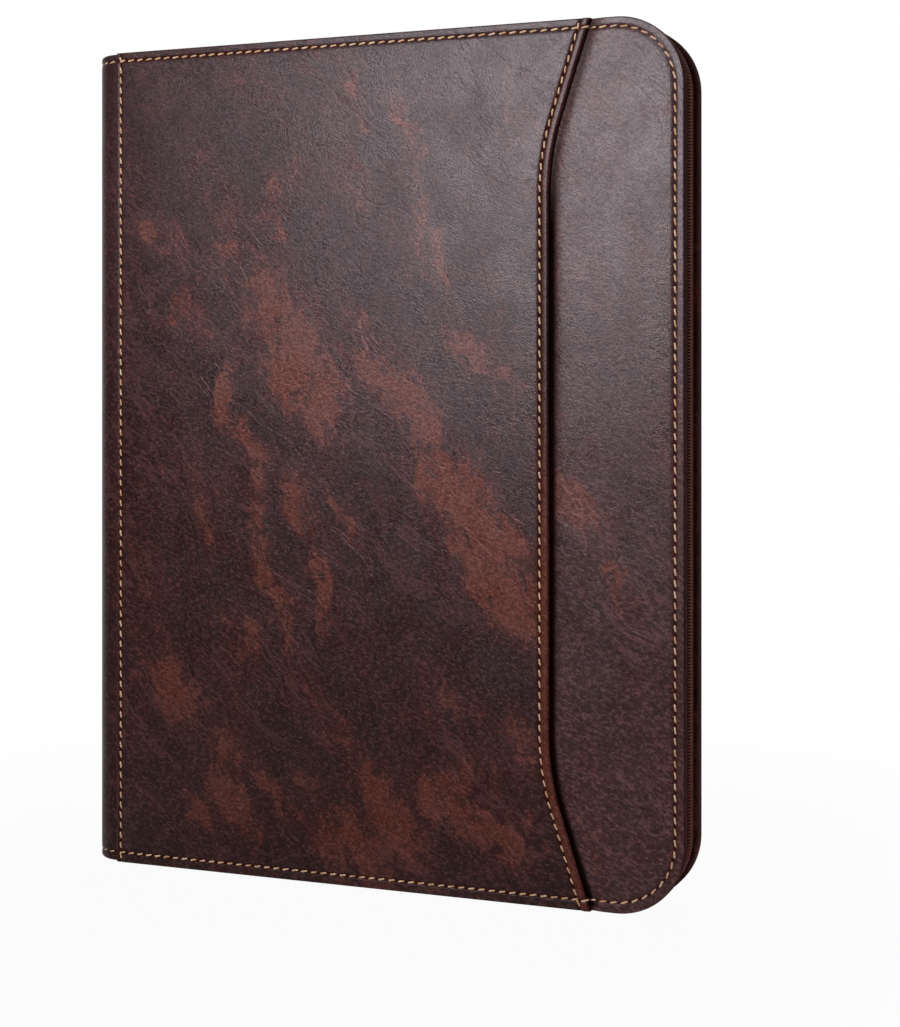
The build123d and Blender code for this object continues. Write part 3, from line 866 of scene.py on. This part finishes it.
def front_pocket():
    z = spaced(pocket_low[2], TOP)
    near = np.array(NEAR_EDGE)
    mouth_x = mouth(z)[:, None]
    first = np.tile(SEAM + near, (z.size, 1))
    middle = SEAM + near[-1] + (mouth_x - 2 * near[-1] - SEAM) * np.linspace(0, 1, 66)[1:-1]
    x = np.concatenate([first, middle, mouth_x - near[::-1]], axis=1)
    z = np.tile(z[:, None], (1, x.shape[1]))
    loop = border(*x.shape)
    turned = border_flags(*x.shape, 1.0, 0.0, 1.0, 0.0)
    out = np.zeros(loop.size), np.sign(z.ravel()[loop] - TOP / 2)
    rows = rim(FRONT_INSIDE - POCKET_FACE - TUCK, 0.8, LEATHER)
    seam, lip = x - SEAM, mouth(z) - x
    edge = np.minimum.reduce([z, TOP - z, seam, lip])
    row = np.abs([z - ROW_BOTTOM, z - ROW_TOP, seam - SEAM_ROW, lip - HEM_ROW]).min(0)
    low_down = ease(z, 210, 120)
    fold = (0.25 + 0.65 * low_down) * ease(lip, HEM_ROW + 0.6, HEM_ROW - 0.6)
    # Painted shade on the lip: a darker band beside the hem row, a lighter ridge line left where the lip
    # catches the light, and near black at its raw edge.
    ridge = 1 - 0.8 * np.exp(-(((lip - 1.3) / 0.45) ** 2))
    shade = (0.6 - 0.35 * low_down) * ease(lip, 3.3, 2.7) * ridge * hem_shadow(z)
    piece = shell("front_pocket_leather", x, z, pocket_height(x, z), POCKET_FACE, FRONT, LEATHER, turned, out,
                  rows, front_leather, "cover_leather", edge, row, fold, shade + 0.3 * ease(lip, 0.9, 0.1))
    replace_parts(piece, "front_pocket")
    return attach(piece, "front_cover")


def cover_rows():
    """Stitched rows that both covers have: round the open sides and up the spine's seam."""
    around = open_sides(SEAM + 0.8, ROW_FORE, ROW_BOTTOM, ROW_TOP, ROW_CORNER)[0]
    return [around, upright(SEAM + SEAM_ROW, 0.9, TOP - 0.8)]


def front_stitching():
    rows = cover_rows()
    rise = rows[-1][:, 1]
    rows.append(np.stack([mouth(rise) - HEM_ROW, rise], -1))
    runs = [laid(path, front_surface, FRONT) for path in rows]
    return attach(sew("front_stitching", runs, "cover_leather"), "front_cover")


# Back cover

def back_height(x, z):
    edge = inside(x, z, *OUTLINE)
    seam = x - SEAM
    row = np.minimum(inside(x, z, *ROW), seam - SEAM_ROW)
    return (rolled(edge, EDGE_ROUND) + rolled(seam, SEAM_ROUND) + row_valley(row)
            + ripple(x, z, 38.0, 0.2, 21.0) * ease(row, 2, 24) - 0.25)


def back_panel():
    x, z = np.meshgrid(spaced(SEAM, FORE_EDGE), spaced(0.0, TOP))
    x, z = rounded(x, z, *OUTLINE)
    seam = x - SEAM
    edge = np.minimum(inside(x, z, *OUTLINE), seam)
    row = np.minimum(np.abs(inside(x, z, *ROW)), np.abs(seam - SEAM_ROW))
    piece = shell("back_panel_leather", x, z, back_height(x, z), BACK_FACE, BACK, LEATHER,
                  *cover_rim(x, z, BACK_FACE - BACK_INSIDE), back_leather, "cover_leather", edge, row)
    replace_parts(piece, "back_panel")
    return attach(piece, "back_cover")


def back_surface(x, z):
    return BACK_FACE + back_height(x, z)


def back_stitching():
    runs = [laid(path, back_surface, BACK) for path in cover_rows()]
    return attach(sew("back_stitching", runs, "cover_leather"), "back_cover")


# Spine

SPINE_CENTRE = (strip_low[0] + SPINE_RADIUS, PANEL_FACE + SPINE_RADIUS)
SPINE_RISE = 0.7
FLAP_SHOWN = SEAM + 6.0
GUTTER_FLAP = -108.0
FOLD_EDGE = (0, 0.05, 0.15, 0.4)


def spine_section(flap_x, across, inner_y):
    """Front half of the spine from above, with outward normals: flap, quarter arc and half of the flat."""
    flap = np.linspace(flap_x, SPINE_CENTRE[0], 6)[:-1]
    turn = np.linspace(0, math.pi / 2, 25)
    arc_x = SPINE_CENTRE[0] - SPINE_RADIUS * np.sin(turn) * across
    arc_y = SPINE_CENTRE[1] - (SPINE_CENTRE[1] - inner_y) * np.cos(turn)
    flat = np.linspace(SPINE_CENTRE[1], MIDDLE, 4)[1:]
    x = np.concatenate([flap, arc_x, np.full(flat.size, arc_x[-1])])
    y = np.concatenate([np.full(flap.size, inner_y), arc_y, flat])
    slope = np.gradient(np.stack([x, y], -1), axis=0)
    slope /= np.linalg.norm(slope, axis=1, keepdims=True)
    normals = np.stack([slope[:, 1], -slope[:, 0], np.zeros(x.size)], -1)
    normals *= -np.sign(normals[len(flap), 1])
    return np.stack([x, y, np.zeros(x.size)], -1), normals


def mirrored(line, normals):
    """The back half of a spine section."""
    turned = line * (1, -1, 1) + (0, 2 * MIDDLE, 0)
    return turned, normals * (1, -1, 1)


def bend(piece, line):
    """Bakes a spine half's placement into its mesh."""
    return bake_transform(piece)


def spine_half(side, cover, flap, line, normals):
    places = spaced(0.2, TOP - 0.2, 12.0)
    ends = np.minimum(places, TOP - places)
    lift = SPINE_RISE + rolled(ends - 0.2, 1.5) + groove(ends - STITCH_INSET, 0.9, 0.25)
    piece = band(f"spine_strip_{side}", line, normals, (0, 0, 1), places, lift, LEATHER, spine_finish,
                 "spine_leather")
    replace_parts(piece, flap, "spine_leather")
    bend(piece, line)
    shown = line[:, 0] < SEAM + 0.5
    on_strip = line[shown] + normals[shown] * 0.15
    runs = [(on_strip + (0, 0, height), normals[shown]) for height in (ROW_BOTTOM, ROW_TOP)]
    bend(sew(f"spine_stitching_{side}", runs, "spine_leather"), line)


def gutter_half(side, cover, line, normals):
    """Cloth that lines the inside of the spine."""
    places = spaced(strip_low[2] + 0.3, strip_high[2] - 0.3, 12.0)
    lift = np.zeros(places.size)
    piece = band(f"gutter_lining_{side}", line, normals, (0, 0, 1), places, lift, 0.5, lining_finish,
                 "lining")
    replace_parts(piece, "spine_lining")
    bend(piece, line)


def spine_end(name, height, up):
    """Leather turned in over an end of the stiffener."""
    stiffener_low = node_box("spine_stiffener")[0]
    y = spaced(SPINE_CENTRE[1] - 3.8, 2 * MIDDLE - SPINE_CENTRE[1] + 3.8, near=FOLD_EDGE)
    ends = np.minimum(y - y.min(), y.max() - y)
    line = np.stack([np.zeros(y.size), y, height + up * (0.4 + rolled(ends, 0.4))], -1)
    normals = np.tile((0.0, 0.0, up), (y.size, 1))
    places = spaced(stiffener_low[0] - 0.3, inner_spine_high[0], 1.0, FOLD_EDGE)
    lift = rolled(np.minimum(places - places.min(), places.max() - places), 0.4)
    piece = band(name, line, normals, (1, 0, 0), places, lift, 0.45, spine_finish, "spine_leather")
    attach(piece, "spine")


def spine():
    outer = spine_section(FLAP_SHOWN, 1.0, PANEL_FACE)
    spine_half("front", "front_cover", "front_hinge_flap", *outer)
    spine_half("back", "back_cover", "back_hinge_flap", *mirrored(*outer))
    gutter_reach = (SPINE_CENTRE[0] - inner_spine_low[0] - 0.2) / SPINE_RADIUS
    inner = spine_section(GUTTER_FLAP, gutter_reach, FRONT_INSIDE - 0.3)
    gutter_half("front", "front_cover", *inner)
    gutter_half("back", "back_cover", *mirrored(*inner))
    spine_end("spine_fold_top", strip_high[2], 1.0)
    spine_end("spine_fold_foot", strip_low[2], -1.0)


# Zip

TOOTH_PITCH = 1.25
# One tooth from its head to its root: reach past the tape's edge, half width and half height
TOOTH_RINGS = (
    (3.4, 0.2, 0.25),
    (3.15, 0.36, 0.42),
    (2.0, 0.38, 0.46),
    (0.8, 0.36, 0.5),
    (0.0, 0.32, 0.55),
    (-0.55, 0.3, 0.5),
    (-0.8, 0.18, 0.28),
)


def zip_tape(name, node, side):
    """Half of the tape, bowed in a little between the cover and the coil."""
    low, high = node_box(node)
    radius = CORNER - (FORE_EDGE - high[0])
    line, out = open_sides(low[0], high[0], low[2], high[2], radius, 2.0)
    outer_y, inner_y = (low[1], high[1]) if side == FRONT else (high[1], low[1])
    share = np.linspace(0, 1, 8)
    across = outer_y + (inner_y - side * 0.5 - outer_y) * share
    drop = -0.25 * np.sin(math.pi * ease(share, 0.3, 1.0))
    section_y = np.concatenate([across, across[::-1]])
    section_out = np.concatenate([drop, drop[::-1] - 0.7])
    rings = np.stack([
        line[:, :1] + out[:, :1] * section_out,
        np.tile(section_y, (len(line), 1)),
        line[:, 1:] + out[:, 1:] * section_out,
    ], -1)
    faces = tube_faces(len(line), len(section_y))
    piece = make_piece(name, rings.reshape(-1, 3), faces, [tape_finish], "zip_tape")
    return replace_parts(piece, node)


def zip_teeth(name, node, side, offset):
    """Half of the coil as separate loops, each reaching past the middle between two of the other half."""
    low, high = node_box("front_zip_coil")
    radius = CORNER - (FORE_EDGE - high[0])
    line, out = open_sides(low[0], high[0], low[2], high[2], radius)
    normals = np.insert(out, 1, 0.0, axis=1)
    placed = np.insert(line, 1, 0.0, axis=1) - normals * 0.45
    places, ahead, normal = along(placed, normals, TOOTH_PITCH)
    toward = np.sign(np.cross(normal, ahead)[0, 1]) * side
    rings = []
    for reach, wide, tall in TOOTH_RINGS:
        rings.append(((reach, 0.0, -0.25 * ease(reach, 1.5, 3.4)), wide, tall))
    points, faces = capsule(rings)
    points = np.stack([points[:, 1], points[:, 0] * toward, points[:, 2]], -1)
    points, faces = repeat(points, faces, places + ahead * offset, ahead, normal)
    piece = make_piece(name, points, faces, [coil_finish], "zip_coil")
    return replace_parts(piece, node)


def zipper():
    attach(zip_tape("front_tape_half", "front_zip_tape", FRONT), "front_cover")
    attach(zip_tape("back_tape_half", "back_zip_tape", BACK), "back_cover")
    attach(zip_teeth("front_coil_half", "front_zip_coil", FRONT, 0.0), "front_cover")
    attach(zip_teeth("back_coil_half", "back_zip_coil", BACK, TOOTH_PITCH / 2), "back_cover")


# Inside

INNER_ROW = 2.6
HEM_DROP = 4.2
INNER_CORNER = 22.0
LINING_CORNER = 24.5
SQUARE_CORNER = 0.01
LINING = 0.45
CARD_SLOT_LEATHER = 0.6
PHONE_POCKET_LEATHER = 1.6
INNER_STEP = 6.0


def inner_sheet(node, side, *corners):
    """Grid on an inner CAD node: its box and seen face, the places, their distance in, and the outline."""
    low, high = node_box(node)
    face = high[1] if side == BACK else low[1]
    outline = (high[0], low[2], high[2], *corners)
    x, z = np.meshgrid(spaced(low[0], high[0], INNER_STEP), spaced(low[2], high[2], INNER_STEP))
    x, z = rounded(x, z, *outline)
    return low, high, face, x, z, np.minimum(inside(x, z, *outline), x - low[0]), outline


def lining(name, node, side, body):
    """Cloth stretched over a cover's board."""
    low, high, face, x, z, edge = inner_sheet(node, side, LINING_CORNER, LINING_CORNER)[:-1]
    height = rolled(edge, 0.3) + ripple(x, z, 26.0, 0.07, 40.0) * ease(edge, 2, 12) - 0.02
    piece = shell(name, x, z, height, face, side, LINING, *raw_rim(x, LINING), lining_finish, "lining", edge,
                  edge + 9.0)
    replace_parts(piece, node)
    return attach(piece, body)


def slip_pocket(name, node, side, corner, body, sheet=LEATHER, sewn_foot=True):
    """A flat inner pocket: hemmed along its open top, sewn down along its sides and foot."""
    low, high, face, x, z, edge, outline = inner_sheet(node, side, corner, SQUARE_CORNER)
    open_top = (high[0], low[2], high[2] + 100.0, corner, SQUARE_CORNER)

    def height(x, z):
        edge = np.minimum(inside(x, z, *outline), x - low[0])
        row = np.minimum(inside(x, z, *open_top), x - low[0]) - INNER_ROW
        hem = high[2] - z
        pulled = groove(row, 0.8, 0.14) + groove(hem - HEM_DROP, 0.8, 0.14)
        raised = 0.18 * ease(hem, HEM_DROP, HEM_DROP - 1) + swell(row, 12.0, 0.12)
        return rolled(edge, 0.45) + pulled + raised - 0.2

    def surface(x, z):
        return face + side * height(x, z)

    piece = shell(name, x, z, height(x, z), face, side, sheet, *raw_rim(x, sheet), inner_leather,
                  "organiser_leather", edge, edge - INNER_ROW)
    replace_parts(piece, node)
    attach(piece, body)

    left, right, foot_shade = low[0] + INNER_ROW, high[0] - INNER_ROW, low[2] + INNER_ROW
    rows = [upright(place, foot_shade, high[2] - 0.6) for place in (right, left)]
    if sewn_foot:
        line = open_sides(left, right, foot_shade, high[2] * 2, max(corner - INNER_ROW, 0.5))[0]
        rows[0] = line[line[:, 1] < high[2] - 0.6]
    run = np.arange(left, right, LINE_STEP)
    rows.append(np.stack([run, np.full(run.size, high[2] - HEM_DROP)], -1))
    runs = [laid(path, surface, side) for path in rows]
    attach(sew(name + "_stitching", runs, "organiser_leather"), body)


def front_inside():
    lining("front_lining_cloth", "front_lining", BACK, "front_cover")
    slip_pocket("document_pocket_leather", "document_pocket", BACK, INNER_CORNER, "front_cover")
    for number in (1, 2, 3):
        slip_pocket(f"card_slot_leather_{number}", f"card_slot_{number}", BACK, SQUARE_CORNER, "front_cover",
                    CARD_SLOT_LEATHER, number == 3)
    slip_pocket("phone_pocket_leather", "phone_pocket", BACK, SQUARE_CORNER, "front_cover",
                PHONE_POCKET_LEATHER)


def back_inside():
    lining("back_lining_cloth", "back_lining", FRONT, "back_cover")
    slip_pocket("pad_pocket_leather", "pad_pocket", FRONT, INNER_CORNER, "back_cover")


LEAVES = 24
LEAF_SLIP = 0.22
BINDING_ROUND = 0.8
LOOP_RADIUS = 5.4


def writing_pad():
    """Separate leaves, a little uneven, under a cloth binding folded over their upper edge."""
    low, high = node_box("pad_sheets")
    draw = np.random.default_rng(5)
    pitch = (high[1] - low[1]) / LEAVES
    points, faces = [], []
    box_faces = [[0, 1, 2, 3], [7, 6, 5, 4], [0, 4, 5, 1], [1, 5, 6, 2], [2, 6, 7, 3], [3, 7, 4, 0]]
    for leaf in range(1, LEAVES):
        slip = draw.uniform(-LEAF_SLIP, 0.0, 3)
        near, far = low[1] + leaf * pitch, low[1] + (leaf + 0.86) * pitch
        left, right, foot_shade = low[0] - slip[0], high[0] + slip[1], low[2] - slip[2]
        for y in (near, far):
            points += [(left, y, foot_shade), (right, y, foot_shade), (right, y, high[2]), (left, y, high[2])]
        faces += shifted(box_faces, (leaf - 1) * 8)
    x, z = np.meshgrid(np.linspace(low[0], high[0], 40), np.linspace(low[2], high[2], 56))
    lifted = ease(x - z * 0.55, 40.0, 110.0)
    top = np.stack([x, low[1] + 0.02 - 1.9 * lifted, z], -1).reshape(-1, 3)
    under = top + (0, pitch * 0.8, 0)
    faces += shifted(sheet_faces(*x.shape), len(points))
    piece = make_piece("pad_leaves", np.concatenate([points, top, under]), faces, [paper_finish], "pad_paper")
    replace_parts(piece, "pad_sheets")
    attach(piece, "back_cover")

    low, high = node_box("pad_binding")
    fold = BINDING_ROUND
    turn = np.linspace(0, math.pi / 2, 6)
    sine, cosine = np.sin(turn), np.cos(turn)
    over_y = np.concatenate([[low[1]], low[1] + fold * (1 - cosine), high[1] - fold * (1 - sine), [high[1]]])
    over_z = np.concatenate([[low[2]], high[2] - fold * (1 - sine), high[2] - fold * (1 - cosine), [low[2]]])
    normal_y = np.concatenate([[-1], -cosine, sine, [1]])
    normal_z = np.concatenate([[0], sine, cosine, [0]])
    flat = np.zeros(over_y.size)
    line, normals = np.stack([flat, over_y, over_z], -1), np.stack([flat, normal_y, normal_z], -1)
    places = spaced(low[0], high[0], 8.0)
    piece = band("pad_binding_cloth", line, normals, (1, 0, 0), places, np.zeros(places.size), 0.35,
                 binding_finish, "pad_binding")
    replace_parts(piece, "pad_binding")
    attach(piece, "back_cover")


def pen_loop():
    """Elastic band folded round into a loop, with both ends sewn flat."""
    low, high = node_box("pen_loop")
    centre_x = (low[0] + high[0]) / 2
    centre_y = low[1] + LOOP_RADIUS
    turn = np.linspace(0, 2 * math.pi, 49)
    left = np.linspace(low[0], centre_x, 5)[:-1]
    right = np.linspace(centre_x, high[0], 5)[1:]
    x = np.concatenate([left, centre_x + LOOP_RADIUS * np.sin(turn), right])
    y = np.concatenate([np.full(4, high[1]), centre_y + LOOP_RADIUS * np.cos(turn), np.full(4, high[1])])
    normal_x = np.concatenate([np.zeros(4), np.sin(turn), np.zeros(4)])
    normal_y = np.concatenate([np.ones(4), np.cos(turn), np.ones(4)])
    flat = np.zeros(x.size)
    places = spaced(low[2], high[2], 3.0, (0, 0.1, 0.3, 0.7))
    lift = rolled(np.minimum(places - low[2], high[2] - places), 0.3)
    line, normals = np.stack([x, y, flat], -1), np.stack([normal_x, normal_y, flat], -1)
    piece = band("pen_loop_elastic", line, normals, (0, 0, 1), places, lift, 0.8, elastic_finish,
                 "pen_elastic")
    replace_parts(piece, "pen_loop")
    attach(piece, "back_cover")


def finish_node(node, material, bevel=0.0):
    """A CAD piece that keeps its shape gets its material and softened edges."""
    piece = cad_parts[node]
    piece.data.materials.clear()
    piece.data.materials.append(material)
    if bevel:
        softened = piece.modifiers.new("softened edges", "BEVEL")
        softened.width = bevel * MM
        softened.segments = 3
        softened.angle_limit = math.radians(35)
        softened.use_clamp_overlap = True


# Stage

CAMERA_PLACE = (0.3041, -0.7044, 0.2015)
CAMERA_TURN = 21.30
FRAME_HEIGHT_PX = 1027
FOCAL_PX = 1865
OPTICAL_CENTRE_PX = 389.5
ROOM_LEVEL = 0.12
FLOOR = 4.0


def camera():
    data = bpy.data.cameras.new("camera")
    data.sensor_fit = "VERTICAL"
    data.sensor_height = 24.0
    data.lens = FOCAL_PX / FRAME_HEIGHT_PX * data.sensor_height
    data.shift_y = OPTICAL_CENTRE_PX / FRAME_HEIGHT_PX - 0.5
    data.clip_start = 0.01
    made = linked("camera", data)
    made.location = CAMERA_PLACE
    made.rotation_euler = (math.radians(90), 0, math.radians(CAMERA_TURN))
    bpy.context.scene.camera = made


def softbox(name, place, target, size, watts, spread=180.0):
    data = bpy.data.lights.new(name, "AREA")
    data.spread = math.radians(spread)
    data.shape = "RECTANGLE"
    data.size, data.size_y = size
    data.energy = watts
    made = linked(name, data)
    made.location = place
    direction = np.array(target) - np.array(place)
    made.rotation_euler = (math.atan2(np.hypot(direction[0], direction[1]), -direction[2]), 0,
                           math.atan2(direction[1], direction[0]) - math.pi / 2)
    made.visible_camera = False


def white_rays(nodes, coords, start, stop):
    """1 for camera rays, and for mirrored ones on the object's far side, where the white backdrop stands."""
    path = nodes.tree.nodes.new("ShaderNodeLightPath").outputs
    behind = nodes.span(nodes.part(coords, "Y"), start, stop)
    mirrored_rays = nodes.math("MAXIMUM", path["Is Glossy Ray"], path["Is Transmission Ray"])
    return nodes.math("MAXIMUM", path["Is Camera Ray"], nodes.math("MULTIPLY", mirrored_rays, behind))


def backdrop():
    """White wherever the camera looks, and behind the object for reflections; a dimmer room for the rest."""
    world = bpy.data.worlds.new("studio")
    bpy.context.scene.world = world
    world.use_nodes = True
    nodes = Nodes(world.node_tree)
    seen = white_rays(nodes, nodes.add("ShaderNodeTexCoord", output="Generated"), -0.2, 0.4)
    level = nodes.add("ShaderNodeMapRange", {"Value": seen, "To Min": ROOM_LEVEL, "To Max": 1.0})
    nodes.feed(nodes.tree.nodes["Background"], {"Color": (1, 1, 1, 1), "Strength": level})


def floor():
    """A pale floor that keeps a faint shadow near the object and fades to white further out."""
    mesh = bpy.data.meshes.new("floor")
    corners = [(-FLOOR, -FLOOR, 0), (FLOOR, -FLOOR, 0), (FLOOR, FLOOR, 0), (-FLOOR, FLOOR, 0)]
    mesh.from_pydata(corners, [], [(0, 1, 2, 3)])
    finish = Finish("floor", roughness=0.9, specular_ior_level=0.0, base_color=(0.6, 0.6, 0.6, 1))
    distance = finish.vector("LENGTH", finish.coords, (0, 0, 0), "Value")
    seen = white_rays(finish, finish.coords, -0.1, 0.2)
    far = finish.math("MULTIPLY", finish.span(distance, 0.12, 0.5, 0.95, 1.0), seen)
    white = finish.add("ShaderNodeEmission", {"Color": (1, 1, 1, 1), "Strength": 1.0})
    both = finish.add("ShaderNodeMixShader", {0: far, 1: finish.shader.outputs[0], 2: white})
    finish.tree.links.new(both, finish.tree.nodes["Material Output"].inputs["Surface"])
    mesh.materials.append(finish.material)
    linked("floor", mesh)


bpy.context.scene.view_settings.view_transform = "Standard"
camera()
backdrop()
floor()
softbox("sheen", (-0.14, -0.85, 0.52), (0.0, 0.0, 0.30), (0.42, 0.52), 1.41, 68.0)
softbox("fill", (-0.85, -1.0, 0.72), (0.0, 0.0, 0.2), (0.6, 0.6), 1.0)
softbox("side", (1.2, -0.2, 0.45), (0.0, 0.0, 0.2), (0.4, 0.4), 1.6)
softbox("rear", (-0.3, 1.1, 0.7), (0.0, 0.0, 0.2), (0.5, 0.5), 12.0)

front_panel()
front_pocket()
front_stitching()
back_panel()
back_stitching()
spine()
zipper()
front_inside()
back_inside()
writing_pad()
pen_loop()

for node in ("slider_body", "slider_bail", "pull_tab", "front_zip_stops", "back_zip_stops"):
    finish_node(node, brass_finish, 0.2)
for node in ("front_padding", "back_padding"):
    finish_node(node, foam_finish)
for node in ("front_board", "back_board"):
    finish_node(node, board_finish)
finish_node("spine_stiffener", leatherboard_finish)
finish_node("pad_backing", card_finish)
